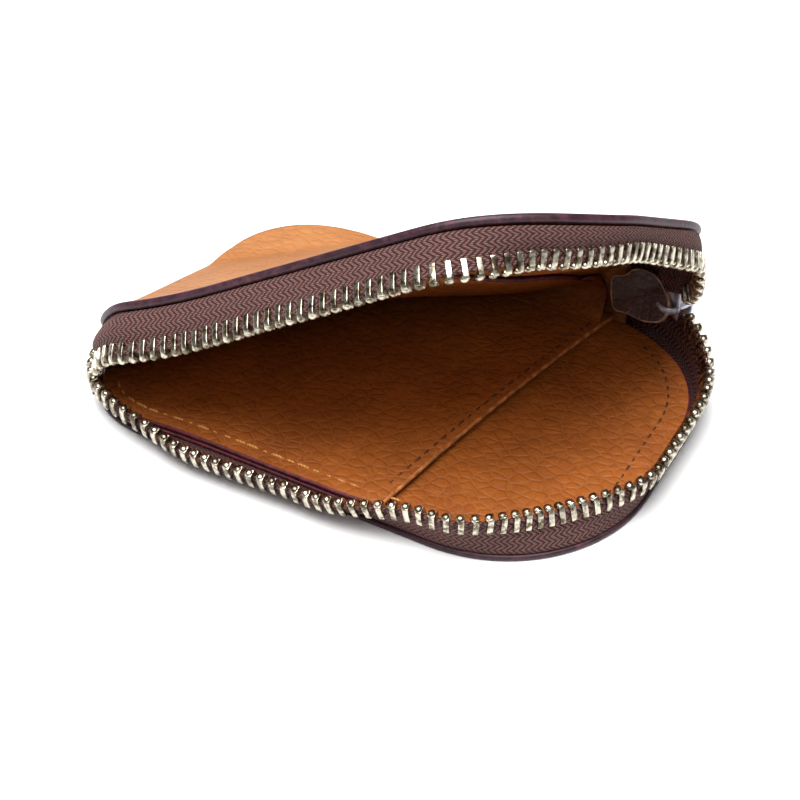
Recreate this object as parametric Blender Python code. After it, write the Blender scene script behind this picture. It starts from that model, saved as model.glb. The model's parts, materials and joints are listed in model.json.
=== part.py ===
"""A small zip-around leather pouch, lying on its lower leaf with one corner of the mouth held open.

Two leather leaves are joined by a leather wall along the left and back sides and by a metal zip along
the front and right sides. Every upper piece is laid out flat, as in the closed pouch, and then tilted
and curled up about a diagonal line, because the upper leaf opens by flexing along that line.
"""
import math

import bmesh
import bpy
from mathutils import Vector

MM = 0.001
GAP = 0.3 * MM

# Leaves: rounded rectangles seen from above, centred on the origin.
LEAF_WIDTH = 114.5 * MM
LEAF_DEPTH = 79.0 * MM
FRONT_LEFT_RADIUS = 20.5 * MM
FRONT_RIGHT_RADIUS = 31.5 * MM
BACK_RIGHT_RADIUS = 28.5 * MM
BACK_LEFT_RADIUS = 21.0 * MM
LEATHER = 1.3 * MM
CLOSED_HEIGHT = 21.9 * MM
ARC_STEPS = 10

# How the upper leaf lies: tilted up about a diagonal line, and curling up further beyond it.
TILT_POINT = Vector((-53.6 * MM, -33.4 * MM))
TILT_HEADING = math.radians(43.0)
CURL_START = -4.0 * MM
CURL_END = 28.0 * MM
TILT_HEIGHT = 19.4 * MM
TILT_ANGLE = math.radians(24.0)
CURL_ANGLE = math.radians(46.0)
CURL_SCORES = 6

# Inner layers, each lying on the one before.
TAPE = 0.6 * MM
TAPE_FLANGE = 6.0 * MM
LINING = 0.9 * MM
LINING_INSET = 2.5 * MM
POCKET = 0.9 * MM
POCKET_INSET = 3.0 * MM
# The inner layers stop short of the back left corner, where the two leaves come together.
LOWER_LINING_FROM = -37.5 * MM
LOWER_POCKET_FROM = -34.5 * MM
UPPER_LINING_FROM = -33.0 * MM
UPPER_POCKET_FROM = -29.0 * MM
POCKET_MOUTH = (Vector((14.5 * MM, -39.5 * MM)), Vector((31.0 * MM, 39.5 * MM)))
UPPER_MOUTH_SHIFT = -6.0 * MM

# Zip: distances run along the edge of the leaf from the middle of the left side.
TAPE_HEIGHT = 6.3 * MM
WALL_INSET = 0.8 * MM
TOOTH_PITCH = 2.5 * MM
TOOTH_WIDTH = 1.2 * MM
TOOTH_REACH = 4.4 * MM
TOOTH_THICKNESS = 2.4 * MM
CORD_REACH = 1.1 * MM
CORD_THICKNESS = 1.4 * MM
ZIP_START = 22.0 * MM
CORNER_END = 47.5 * MM
RAISED_END = 190.0 * MM
TEETH_END = 206.0 * MM
SLIDER_AT = 212.5 * MM
BOTTOM_STOP_AT = 223.5 * MM
TAPE_END = 226.0 * MM
TAPE_STEP = 4.5 * MM
TOOTH_MARGIN = 1.2 * MM
TOOTH_FLANK = 0.1 * MM
STOP_OFFSET = 1.6 * MM
# Near the slider the raised upper chain comes back towards the lower one, and pulls it up a little.
SETTLE_START = 190.0 * MM
SETTLE_SHARE = 0.3
LIFT = 3.4 * MM
LOWER_LEAN = (
    (20, 32), (40, 33), (65, 46), (90, 40), (115, 11), (140, -14), (165, 14), (190, 14), (210, 12), (230, 12),
)
UPPER_LEAN = ((20, 0), (40, 4), (65, 20), (90, 26), (115, 20), (140, -22), (165, -22), (190, -8), (230, -4))

# Slider, pull tab and stops.
SLIDER_LENGTH = 9.0 * MM
SLIDER_HEIGHT = 8.0 * MM
SLIDER_PLATE = 0.9 * MM
SLIDER_MOUTH = 3.6 * MM
SLIDER_RISE = 15.0 * MM
SLIDER_OUT = 1.2 * MM
DIVIDER = (2.6 * MM, 1.8 * MM)
BRIDGE_SPAN = 5.6 * MM
BRIDGE_RISE = 2.2 * MM
BRIDGE_WIDTH = 1.6 * MM
BRIDGE_SHIFT = 1.8 * MM
TAB_LENGTH = 14.0 * MM
TAB_WIDTH = 9.2 * MM
TAB_THICKNESS = 2.4 * MM
TAB_SWING = math.radians(30.0)
TAB_DROP = 2.2 * MM
TAB_PAST_PIVOT = 0.5 * MM
STOP_SIZE = (2.2 * MM, 4.2 * MM, 2.8 * MM)
BOTTOM_STOP_SIZE = (1.6 * MM, 2.6 * MM, 6.0 * MM)
BAND = 1.2 * MM
LOWEST_WALL = 0.9 * MM
WALL_X = (-26, -13, 0, 8, 16, 24)
THREAD = 0.3 * MM
FRONT_SEAM_AT = (36, 41, 46, 51, 70, 90, 104)
FRONT_SEAM_INSET = POCKET_INSET + 0.6 * MM
MOUTH_SEAM_AT = (8, 40, 72)
MOUTH_SEAM_OFFSET = 2.5 * MM
CORNER_SEAM_AT = (142, 152, 163, 173, 182, 190, 198, 206, 214, 222)
CORNER_SEAM_INSET = LINING_INSET + 2.6 * MM

MATERIALS = {
    "outer_leather": ((0.56, 0.27, 0.10), 0.5, 0.0),
    "lining_leather": ((0.45, 0.19, 0.05), 0.55, 0.0),
    "zip_tape": ((0.11, 0.05, 0.05), 0.85, 0.0),
    "zip_metal": ((0.72, 0.70, 0.65), 0.3, 1.0),
    "pull_leather": ((0.08, 0.05, 0.045), 0.55, 0.0),
    "pale_thread": ((0.75, 0.45, 0.15), 0.7, 0.0),
    "dark_thread": ((0.14, 0.06, 0.03), 0.7, 0.0),
}

UP = Vector((0, 0, 1))
ACROSS = Vector((math.sin(TILT_HEADING), -math.cos(TILT_HEADING), 0))
LEVEL_Z = CLOSED_HEIGHT - LEATHER
CURL_RADIUS = (CURL_END - CURL_START) / (CURL_ANGLE - TILT_ANGLE)
FLANGE_Z = LEATHER + GAP
LINING_Z = FLANGE_Z + TAPE + GAP
POCKET_Z = LINING_Z + LINING + GAP


def clear_scene():
    for thing in list(bpy.data.objects):
        bpy.data.objects.remove(thing, do_unlink=True)


def material(name):
    found = bpy.data.materials.get(name)
    if found:
        return found
    colour, roughness, metallic = MATERIALS[name]
    made = bpy.data.materials.new(name)
    made.use_nodes = True
    shader = made.node_tree.nodes["Principled BSDF"]
    shader.inputs["Base Color"].default_value = (*colour, 1)
    shader.inputs["Roughness"].default_value = roughness
    shader.inputs["Metallic"].default_value = metallic
    return made


# ---------------------------------------------------------------- the tilt and the leaf's edge


def tilt_distance(point):
    """How far a point of the flat pouch lies beyond the tilt line, towards the mouth."""
    return (point.x - TILT_POINT.x) * ACROSS.x + (point.y - TILT_POINT.y) * ACROSS.y


def tilt(point):
    """Where a point of the closed pouch lies once the upper leaf is tilted and curled up."""
    across = tilt_distance(point)
    behind = min(across - CURL_START, 0.0)
    beyond = max(across - CURL_END, 0.0)
    curled = min(max(across - CURL_START, 0.0), CURL_END - CURL_START)
    angle = TILT_ANGLE + curled / CURL_RADIUS
    run = CURL_START + CURL_RADIUS * (math.sin(angle) - math.sin(TILT_ANGLE))
    run += behind * math.cos(TILT_ANGLE) + beyond * math.cos(CURL_ANGLE)
    rise = CURL_RADIUS * (math.cos(TILT_ANGLE) - math.cos(angle))
    rise += behind * math.sin(TILT_ANGLE) + beyond * math.sin(CURL_ANGLE)
    above = point.z - LEVEL_Z
    run -= above * math.sin(angle)
    rise += above * math.cos(angle)
    moved = point + ACROSS * (run - across)
    moved.z = TILT_HEIGHT + rise
    return moved


def same_place(point):
    return point.copy()


def upside_down(point):
    """The place in the upper leaf that matches a place in the lower leaf, with the pouch closed."""
    return Vector((point.x, point.y, CLOSED_HEIGHT - point.z))


def upper_place(point):
    return tilt(upside_down(point))


def arc(centre, radius, start, end, steps):
    angles = [start + (end - start) * i / steps for i in range(steps + 1)]
    return [Vector((centre[0] + radius * math.cos(a), centre[1] + radius * math.sin(a))) for a in angles]


def leaf_outline(inset):
    """The outline of the leaf, moved in by inset, anticlockwise from the front left corner."""
    half_w = LEAF_WIDTH / 2
    half_d = LEAF_DEPTH / 2
    corners = (
        (-1, -1, FRONT_LEFT_RADIUS, math.pi),
        (1, -1, FRONT_RIGHT_RADIUS, 1.5 * math.pi),
        (1, 1, BACK_RIGHT_RADIUS, 0.0),
        (-1, 1, BACK_LEFT_RADIUS, 0.5 * math.pi),
    )
    points = []
    for side_x, side_y, radius, start in corners:
        centre = (side_x * (half_w - radius), side_y * (half_d - radius))
        points += arc(centre, radius - inset, start, start + math.pi / 2, ARC_STEPS)
    return points


def edge_at(distance):
    """Point and outward direction at a distance along the leaf's edge from the middle of the left side."""
    half_w = LEAF_WIDTH / 2
    half_d = LEAF_DEPTH / 2
    corners = (
        (-half_w + FRONT_LEFT_RADIUS, -half_d + FRONT_LEFT_RADIUS, FRONT_LEFT_RADIUS, math.pi),
        (half_w - FRONT_RIGHT_RADIUS, -half_d + FRONT_RIGHT_RADIUS, FRONT_RIGHT_RADIUS, 1.5 * math.pi),
        (half_w - BACK_RIGHT_RADIUS, half_d - BACK_RIGHT_RADIUS, BACK_RIGHT_RADIUS, 2 * math.pi),
    )
    runs = (
        half_d - FRONT_LEFT_RADIUS,
        LEAF_WIDTH - FRONT_LEFT_RADIUS - FRONT_RIGHT_RADIUS,
        LEAF_DEPTH - FRONT_RIGHT_RADIUS - BACK_RIGHT_RADIUS,
    )
    left = distance
    for (x, y, radius, start), run in zip(corners, runs):
        outward = Vector((math.cos(start), math.sin(start), 0))
        heading = Vector((-outward.y, outward.x, 0))
        first = Vector((x, y, 0)) + outward * radius
        if left < run:
            return first - heading * (run - left), outward
        left -= run
        turn = radius * math.pi / 2
        if left < turn:
            angle = start + left / radius
            outward = Vector((math.cos(angle), math.sin(angle), 0))
            return Vector((x, y, 0)) + outward * radius, outward
        left -= turn
    return Vector((half_w - BACK_RIGHT_RADIUS - left, half_d, 0)), Vector((0, 1, 0))


def lean_at(distance, stations):
    """The wall's lean outward in radians, eased between stations of (mm along the edge, degrees)."""
    mm = distance / MM
    if mm <= stations[0][0]:
        return math.radians(stations[0][1])
    for (d0, a0), (d1, a1) in zip(stations, stations[1:]):
        if mm <= d1:
            share = (mm - d0) / (d1 - d0)
            ease = share * share * (3 - 2 * share)
            return math.radians(a0 + (a1 - a0) * ease)
    return math.radians(stations[-1][1])


def wall_frame(distance, stations):
    """Foot of the zip's wall, and its up and outward directions, for the lower leaf."""
    point, outward = edge_at(distance)
    lean = lean_at(distance, stations)
    foot = point - outward * WALL_INSET + UP * FLANGE_Z
    rise = UP * math.cos(lean) + outward * math.sin(lean)
    side = outward * math.cos(lean) - UP * math.sin(lean)
    return foot, rise, side, outward


def near_slider(distance):
    """Grows from 0 at SETTLE_START to 1 where the teeth end, beside the slider."""
    share = min(max((distance - SETTLE_START) / (TEETH_END - SETTLE_START), 0.0), 1.0)
    return share * share * (3 - 2 * share)


# ---------------------------------------------------------------- making solids


def finish(bm, name, look, pivot=None):
    """Turns a closed bmesh into an object whose origin is its pivot."""
    pivot = pivot or Vector((0, 0, 0))
    bmesh.ops.recalc_face_normals(bm, faces=bm.faces)
    if bm.calc_volume(signed=True) < 0:
        bmesh.ops.reverse_faces(bm, faces=bm.faces)
    bmesh.ops.translate(bm, vec=-pivot, verts=bm.verts)
    mesh = bpy.data.meshes.new(name)
    bm.to_mesh(mesh)
    bm.free()
    mesh.materials.append(material(look))
    thing = bpy.data.objects.new(name, mesh)
    thing.location = pivot
    bpy.context.scene.collection.objects.link(thing)
    return thing


def slab(outline, low, high):
    """A flat plate with the given outline."""
    bm = bmesh.new()
    face = bm.faces.new([bm.verts.new((p.x, p.y, low)) for p in outline])
    grown = bmesh.ops.extrude_face_region(bm, geom=[face])
    lifted = [v for v in grown["geom"] if isinstance(v, bmesh.types.BMVert)]
    bmesh.ops.translate(bm, vec=(0, 0, high - low), verts=lifted)
    return bm


def cut(bm, point, normal, keep_positive):
    """Cuts a closed plate by an upright plane and closes it again."""
    bmesh.ops.bisect_plane(
        bm, geom=bm.verts[:] + bm.edges[:] + bm.faces[:], dist=1e-7, plane_co=point,
        plane_no=normal, clear_inner=keep_positive, clear_outer=not keep_positive)
    bmesh.ops.holes_fill(bm, edges=[e for e in bm.edges if e.is_boundary])


def tilt_line_point(across):
    return Vector((TILT_POINT.x, TILT_POINT.y, 0)) + ACROSS * across


def score_and_tilt(bm):
    """Adds the edges along which a flat plate curls, and lays the plate where the upper leaf lies."""
    for i in range(CURL_SCORES + 1):
        across = CURL_START + (CURL_END - CURL_START) * i / CURL_SCORES
        bmesh.ops.bisect_plane(
            bm, geom=bm.verts[:] + bm.edges[:] + bm.faces[:], dist=1e-7,
            plane_co=tilt_line_point(across), plane_no=ACROSS)
    bmesh.ops.triangulate(bm, faces=bm.faces)
    for vert in bm.verts:
        vert.co = tilt(vert.co)


def layer(name, look, outline, low, start, upper, mouth_line, thickness):
    """An inner layer of one leaf, cut off behind start and, for a pocket, at its mouth edge."""
    if upper:
        bm = slab(outline, CLOSED_HEIGHT - low - thickness, CLOSED_HEIGHT - low)
    else:
        bm = slab(outline, low, low + thickness)
    cut(bm, tilt_line_point(start), ACROSS, True)
    if mouth_line:
        cut_at_mouth(bm, UPPER_MOUTH_SHIFT if upper else 0)
    if upper:
        score_and_tilt(bm)
    finish(bm, name, look, hinge_point() if upper else None)


def cut_at_mouth(bm, shift):
    """Ends a pocket leaf at its mouth edge, which runs from front to back."""
    front, back = POCKET_MOUTH
    heading = (back - front).normalized()
    normal = Vector((heading.y, -heading.x, 0))
    cut(bm, Vector((front.x + shift, front.y, 0)), normal, False)


def hinge_point():
    """A point on the line about which the upper leaf swings."""
    return tilt(Vector((TILT_POINT.x, TILT_POINT.y, LEVEL_Z)) + ACROSS * CURL_START)


def ribbon(rings):
    """A closed solid through rings of equal size, with a cap at each end."""
    bm = bmesh.new()
    rows = [[bm.verts.new(p) for p in ring] for ring in rings]
    count = len(rows[0])
    for near, far in zip(rows, rows[1:]):
        for i in range(count):
            j = (i + 1) % count
            bm.faces.new((near[i], near[j], far[j], far[i]))
    bm.faces.new(rows[0][::-1])
    bm.faces.new(rows[-1])
    return bm


def box(centre, along, across, up, size):
    """A box with the given middle, directions and full sizes."""
    bm = bmesh.new()
    bmesh.ops.create_cube(bm, size=1.0)
    for vert in bm.verts:
        x, y, z = vert.co.x * size[0], vert.co.y * size[1], vert.co.z * size[2]
        vert.co = centre + along * x + across * y + up * z
    return bm


def steps_between(start, end, spacing):
    count = max(1, round((end - start) / spacing))
    return [start + (end - start) * i / count for i in range(count + 1)]


# ---------------------------------------------------------------- the zip


def chain_point(distance, stations, height, side_offset, place, settled):
    """A point of the zip's wall, at a height above the wall's foot."""
    foot, rise, side, _ = wall_frame(distance, stations)
    point = foot + rise * height + side * side_offset
    lift = UP * (LIFT * near_slider(distance) * min(height / TAPE_HEIGHT, 1.0))
    placed = place(point)
    if place is same_place:
        return placed + lift
    if not settled:
        return placed
    return placed.lerp(upside_down(point) + lift, SETTLE_SHARE * near_slider(distance))


def tape_rings(start, end, stations, place, settled=False):
    rings = []
    half = TAPE / 2
    for distance in steps_between(start, end, TAPE_STEP):
        foot, _, _, outward = wall_frame(distance, stations)
        flange = [foot - outward * TAPE_FLANGE, foot - outward * TAPE_FLANGE + UP * TAPE]
        corner = foot - outward * half + UP * TAPE
        outer = foot + outward * half
        ring = [place(p) for p in flange + [corner]]
        ring.append(chain_point(distance, stations, TAPE_HEIGHT - GAP, -half, place, settled))
        ring.append(chain_point(distance, stations, TAPE_HEIGHT - GAP, half, place, settled))
        ring.append(place(outer))
        rings.append(ring)
    return rings


def teeth_rings(start, end, stations, place, settled=False):
    """A row of teeth standing on the cord along the tape's edge."""
    def ring(distance, reach, thickness):
        corners = ((TAPE_HEIGHT, -1), (TAPE_HEIGHT + reach, -1), (TAPE_HEIGHT + reach, 1), (TAPE_HEIGHT, 1))
        return [chain_point(distance, stations, h, s * thickness / 2, place, settled) for h, s in corners]

    rings = []
    for centre in steps_between(start, end, TOOTH_PITCH):
        near = centre - TOOTH_WIDTH / 2
        far = centre + TOOTH_WIDTH / 2
        rings.append(ring(near - TOOTH_FLANK, CORD_REACH, CORD_THICKNESS))
        rings.append(ring(near, TOOTH_REACH, TOOTH_THICKNESS))
        rings.append(ring(far, TOOTH_REACH, TOOTH_THICKNESS))
        rings.append(ring(far + TOOTH_FLANK, CORD_REACH, CORD_THICKNESS))
    return rings


def make_chain(name, start, end, stations, place, pivot=None, settled=False, teeth_end=None):
    tape = ribbon(tape_rings(start, end, stations, place, settled))
    finish(tape, "zip_tape_" + name, "zip_tape", pivot)
    last = (teeth_end or end) - TOOTH_MARGIN
    row = ribbon(teeth_rings(start + TOOTH_MARGIN, last, stations, place, settled))
    finish(row, "teeth_" + name, "zip_metal", pivot)


def make_zip():
    hinge = hinge_point()
    make_chain("lower", ZIP_START, TAPE_END, LOWER_LEAN, same_place, teeth_end=TEETH_END)
    make_chain("upper_corner", ZIP_START, CORNER_END, UPPER_LEAN, upper_place, hinge)
    make_chain("upper", CORNER_END + GAP, RAISED_END, UPPER_LEAN, upper_place, hinge)
    make_chain("upper_end", RAISED_END + GAP, TEETH_END, UPPER_LEAN, upper_place, None, True)
    make_stop("top_stop_lower", ZIP_START - STOP_OFFSET, LOWER_LEAN, same_place, None)
    make_stop("top_stop_upper", ZIP_START - STOP_OFFSET, UPPER_LEAN, upper_place, hinge)


def make_stop(name, distance, stations, place, pivot):
    """A metal clamp past the last tooth, shaped as a small block."""
    length, height, thickness = STOP_SIZE
    rings = []
    for along in (distance - length / 2, distance + length / 2):
        corners = ((TAPE_HEIGHT - height / 2, -1), (TAPE_HEIGHT + height / 2, -1),
                   (TAPE_HEIGHT + height / 2, 1), (TAPE_HEIGHT - height / 2, 1))
        rings.append([chain_point(along, stations, h, s * thickness / 2, place, False) for h, s in corners])
    finish(ribbon(rings), name, "zip_metal", pivot)


def slider_frame():
    """Middle of the slider, and its directions: along the zip, outward and up."""
    point, outward = edge_at(SLIDER_AT)
    along = Vector((-outward.y, outward.x, 0))
    middle = point + outward * SLIDER_OUT + UP * SLIDER_RISE
    return middle, along, outward


def make_slider():
    middle, along, outward = slider_frame()
    plate_at = (SLIDER_MOUTH + SLIDER_PLATE) / 2
    plate_size = (SLIDER_LENGTH, SLIDER_PLATE, SLIDER_HEIGHT)
    outer = finish(box(middle + outward * plate_at, along, outward, UP, plate_size), "slider_body", "zip_metal")
    inner = finish(box(middle - outward * plate_at, along, outward, UP, plate_size), "slider_inner", "zip_metal")
    nose = middle - along * (SLIDER_LENGTH / 2 - DIVIDER[0] / 2)
    divider_size = (DIVIDER[0], SLIDER_MOUTH + SLIDER_PLATE, DIVIDER[1])
    divider = finish(box(nose, along, outward, UP, divider_size), "slider_divider", "zip_metal")
    for helper in (divider, inner):
        helper.hide_render = True
        helper.display_type = "WIRE"
        union = outer.modifiers.new("join_" + helper.name, "BOOLEAN")
        union.operation = "UNION"
        union.object = helper
    foot = middle - outward * (plate_at + SLIDER_PLATE / 2 + GAP) - along * BRIDGE_SHIFT
    make_bridge(foot, along, outward)


def make_bridge(foot, along, outward):
    """The arch on the slider's inner face that holds the pull tab."""
    inward = -outward
    half = BRIDGE_SPAN / 2
    inner = half - BRIDGE_WIDTH * 0.7
    shoulder = BRIDGE_RISE * 0.6
    underside = BRIDGE_RISE * 0.45
    outline = [(-half, 0), (-half, shoulder), (-inner, BRIDGE_RISE), (inner, BRIDGE_RISE), (half, shoulder),
               (half, 0), (inner, 0), (inner * 0.8, underside), (-inner * 0.8, underside), (-inner, 0)]
    rings = []
    for side in (-BRIDGE_WIDTH / 2, BRIDGE_WIDTH / 2):
        rings.append([foot + along * a + inward * r + UP * side for a, r in outline])
    finish(ribbon(rings), "slider_bridge", "zip_metal")


def make_pull_tab():
    """A folded leather tab that hangs from the bridge into the pouch."""
    middle, along, outward = slider_frame()
    reach = SLIDER_MOUTH / 2 + SLIDER_PLATE + GAP + BRIDGE_RISE + GAP
    pivot = middle - outward * reach - along * BRIDGE_SHIFT - UP * TAB_DROP
    heading = (along * math.cos(TAB_SWING) - outward * math.sin(TAB_SWING)).normalized()
    side = UP.cross(heading)
    start = pivot - heading * TAB_PAST_PIVOT - outward * TAB_THICKNESS
    outline = [(0, -0.28), (0.12, -0.42), (0.3, -0.5), (0.92, -0.5), (1.0, -0.42),
               (1.0, 0.42), (0.92, 0.5), (0.3, 0.5), (0.12, 0.42), (0, 0.28)]
    flat = [start + heading * (a * TAB_LENGTH) + UP * (b * TAB_WIDTH) for a, b in outline]
    rings = [[p + side * lift for p in flat] for lift in (-TAB_THICKNESS / 2, TAB_THICKNESS / 2)]
    finish(ribbon(rings), "puller_tab", "pull_leather", pivot)


def make_bottom_stop():
    """A small metal block that ends the zip, just above the lower tape."""
    point, outward = edge_at(BOTTOM_STOP_AT)
    along = Vector((-outward.y, outward.x, 0))
    rise = FLANGE_Z + TAPE_HEIGHT + LIFT + BOTTOM_STOP_SIZE[2] / 2
    finish(box(point + UP * rise, along, outward, UP, BOTTOM_STOP_SIZE), "bottom_stop", "zip_metal")


# ---------------------------------------------------------------- leather


def make_outer_leaves():
    leaf = leaf_outline(0)
    finish(slab(leaf, 0, LEATHER), "outer_panel_lower", "outer_leather")
    upper = slab(leaf, CLOSED_HEIGHT - LEATHER, CLOSED_HEIGHT)
    score_and_tilt(upper)
    finish(upper, "outer_panel_upper", "outer_leather", hinge_point())


def make_linings():
    edge = leaf_outline(LINING_INSET)
    look = "lining_leather"
    layer("lining_lower", look, edge, LINING_Z, LOWER_LINING_FROM, False, False, LINING)
    layer("lining_upper", look, edge, LINING_Z, UPPER_LINING_FROM, True, False, LINING)


def make_pockets():
    edge = leaf_outline(POCKET_INSET)
    look = "lining_leather"
    layer("pocket_leaf_lower", look, edge, POCKET_Z, LOWER_POCKET_FROM, False, True, POCKET)
    layer("pocket_leaf_upper", look, edge, POCKET_Z, UPPER_POCKET_FROM, True, True, POCKET)


def wall_top(point):
    """Height of the wall's top edge, just under the slope of the upper leaf."""
    slope = TILT_HEIGHT + (tilt_distance(point) - CURL_START) * math.tan(TILT_ANGLE)
    return max(slope - 2 * GAP, FLANGE_Z + LOWEST_WALL)


def make_wall():
    """The leather wall that joins the leaves along the left and back sides."""
    half_w = LEAF_WIDTH / 2
    half_d = LEAF_DEPTH / 2
    radius = BACK_LEFT_RADIUS
    corner = arc((-half_w + radius, half_d - radius), radius, math.pi, math.pi / 2, ARC_STEPS)
    line = [Vector((-half_w, -half_d + FRONT_LEFT_RADIUS + 2 * MM))] + corner
    line += [Vector((x * MM, half_d)) for x in WALL_X]
    rings = []
    for i, point in enumerate(line):
        ahead = line[min(i + 1, len(line) - 1)] - line[max(i - 1, 0)]
        outward = Vector((-ahead.y, ahead.x, 0)).normalized()
        outer = Vector((point.x, point.y, 0)) - outward * WALL_INSET
        inner = outer - outward * BAND
        ring = [outer + UP * FLANGE_Z, inner + UP * FLANGE_Z]
        ring += [p + UP * wall_top(p) for p in (inner, outer)]
        rings.append(ring)
    finish(ribbon(rings), "wall_band", "outer_leather")


def thread(name, look, points):
    """A run of stitching as one round cord."""
    curve = bpy.data.curves.new(name, "CURVE")
    curve.dimensions = "3D"
    curve.bevel_depth = THREAD
    curve.bevel_resolution = 0
    curve.use_fill_caps = True
    spline = curve.splines.new("POLY")
    spline.points.add(len(points) - 1)
    for slot, point in zip(spline.points, points):
        slot.co = (*point, 1)
    curve.materials.append(material(look))
    made = bpy.data.objects.new(name, curve)
    bpy.context.scene.collection.objects.link(made)


def make_threads():
    pocket_top = UP * (POCKET_Z + POCKET + GAP + THREAD)
    lining_top = UP * (LINING_Z + LINING + GAP + THREAD)
    front = [edge_at(d * MM) for d in FRONT_SEAM_AT]
    thread("thread_front_seam", "pale_thread", [p - o * FRONT_SEAM_INSET + pocket_top for p, o in front])
    start, end = POCKET_MOUTH
    heading = (end - start).normalized()
    beside = Vector((-heading.y, heading.x, 0)) * MOUTH_SEAM_OFFSET
    mouth = [Vector((*(start + heading * (a * MM)), 0)) for a in MOUTH_SEAM_AT]
    thread("thread_pocket_mouth", "dark_thread", [p + beside + pocket_top for p in mouth])
    corner = [edge_at(d * MM) for d in CORNER_SEAM_AT]
    thread("thread_lining_corner", "dark_thread", [p - o * CORNER_SEAM_INSET + lining_top for p, o in corner])


def main():
    clear_scene()
    make_outer_leaves()
    make_linings()
    make_pockets()
    make_wall()
    make_zip()
    make_slider()
    make_pull_tab()
    make_bottom_stop()
    make_threads()


main()
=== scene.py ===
"""Looks of the zip-around leather pouch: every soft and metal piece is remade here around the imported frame.

Distances are in metres, in the frame's own axes: +X along the long side, -Y at the front, +Z up. The pouch
is laid out closed and flat first, and tilt() then lays each upper piece where the open leaf lies.
"""
import json
import math

import bmesh
import bpy
import numpy as np
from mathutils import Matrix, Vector


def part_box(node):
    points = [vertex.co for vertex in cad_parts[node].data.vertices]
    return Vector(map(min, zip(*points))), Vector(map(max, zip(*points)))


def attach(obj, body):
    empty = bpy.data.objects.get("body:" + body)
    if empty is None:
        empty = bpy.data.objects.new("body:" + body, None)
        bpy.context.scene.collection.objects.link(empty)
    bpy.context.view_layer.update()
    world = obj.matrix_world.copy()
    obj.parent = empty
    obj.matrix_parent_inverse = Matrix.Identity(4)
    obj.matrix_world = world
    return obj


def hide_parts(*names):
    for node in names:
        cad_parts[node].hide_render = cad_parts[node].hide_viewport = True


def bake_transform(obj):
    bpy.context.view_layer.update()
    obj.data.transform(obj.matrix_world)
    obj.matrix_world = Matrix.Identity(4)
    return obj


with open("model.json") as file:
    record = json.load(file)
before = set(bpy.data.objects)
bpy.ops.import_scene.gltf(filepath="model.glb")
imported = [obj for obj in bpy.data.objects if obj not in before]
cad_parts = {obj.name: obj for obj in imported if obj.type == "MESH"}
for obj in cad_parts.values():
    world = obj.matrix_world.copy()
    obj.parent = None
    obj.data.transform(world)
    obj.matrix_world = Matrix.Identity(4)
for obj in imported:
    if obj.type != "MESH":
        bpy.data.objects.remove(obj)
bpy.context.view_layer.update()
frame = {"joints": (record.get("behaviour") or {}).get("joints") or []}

MM = 0.001
UP = np.array((0, 0, 1.0))
LOWER = "lower_leaf"
UPPER = "upper_leaf"

# ---------------------------------------- sizes, read from the frame where it has them
LEAF_LOW, LEAF_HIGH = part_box("outer_panel_lower")
LEAF_WIDTH = LEAF_HIGH.x - LEAF_LOW.x
LEAF_DEPTH = LEAF_HIGH.y - LEAF_LOW.y
LEATHER = LEAF_HIGH.z
FRONT_LEFT_RADIUS = 20.5 * MM
FRONT_RIGHT_RADIUS = 31.5 * MM
BACK_RIGHT_RADIUS = 28.5 * MM
BACK_LEFT_RADIUS = 21.0 * MM
CLOSED_HEIGHT = 21.9 * MM

# The open leaf: tilted about the mouth's axis, then curled up further away from that axis.
JOINTS = {joint["name"]: joint for joint in frame["joints"]}
MOUTH_AXIS = JOINTS["mouth"]["axis"]
TILT_HEADING = math.atan2(-MOUTH_AXIS[1], -MOUTH_AXIS[0])
TILT_POINT = np.array((-53.6, -33.4)) * MM
CURL_START = -4.0 * MM
CURL_END = 28.0 * MM
TILT_HEIGHT = JOINTS["mouth"]["pos_m"][2]
TILT_ANGLE = math.radians(24.0)
CURL_ANGLE = math.radians(46.0)
CURL_RADIUS = (CURL_END - CURL_START) / (CURL_ANGLE - TILT_ANGLE)
ACROSS = np.array((math.sin(TILT_HEADING), -math.cos(TILT_HEADING)))
SIDEWAYS = np.array((math.cos(TILT_HEADING), math.sin(TILT_HEADING)))
LEVEL_Z = CLOSED_HEIGHT - LEATHER
# Where the leather lies off that shape: (mm from the tilt point, mm up), across the axis and along it.
SAG_ACROSS = ((-46, -1.6), (-41, -2.4), (-34, -4.3), (-16, -4.8), (-5, -4.6), (13, 1.4), (90, 1.4))
SAG_SIDEWAYS = ((-50, 0), (56, 0), (94, -4.2), (200, -4.2))
# The leaf's inner face comes no lower than this, and eases onto it over this much height.
LOWEST_LEAF = 1.75 * MM
SOFT_LANDING = 0.35 * MM

# Layers, from the leaf inwards.
GAP = 0.3 * MM
TAPE = 0.6 * MM
LINING_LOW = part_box("lining_lower")[0].z
LINING_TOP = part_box("lining_lower")[1].z
POCKET_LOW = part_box("pocket_leaf_lower")[0].z
POCKET_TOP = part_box("pocket_leaf_lower")[1].z
LINING_INSET = 2.5 * MM
POCKET_INSET = 2.6 * MM
POCKET_GAPE = 1.7 * MM
GAPE_DEPTH = 16 * MM
GAPE_HALF = 38 * MM
MOUTH_SEAM_INSET = 2.2 * MM
POCKET_MOUTH = (np.array((14.5, -39.5)) * MM, np.array((31.0, 39.5)) * MM)
UPPER_MOUTH_SHIFT = -6.0 * MM
LEATHER_WAVE = 11 * MM
# How far from the tilt point each inner layer is cut off at the closed back left corner.
LOWER_LINING_FROM = -21.0 * MM
LOWER_POCKET_FROM = -20.0 * MM
UPPER_LINING_FROM = -20.0 * MM
UPPER_POCKET_FROM = -18.5 * MM
# How far the lower leaf's front left corner is pulled out, where, and over what radius.
CORNER_PULL = 1.5 * MM
CORNER_AT = np.array((-49, -33)) * MM
CORNER_SPREAD = 12.0 * MM
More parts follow.
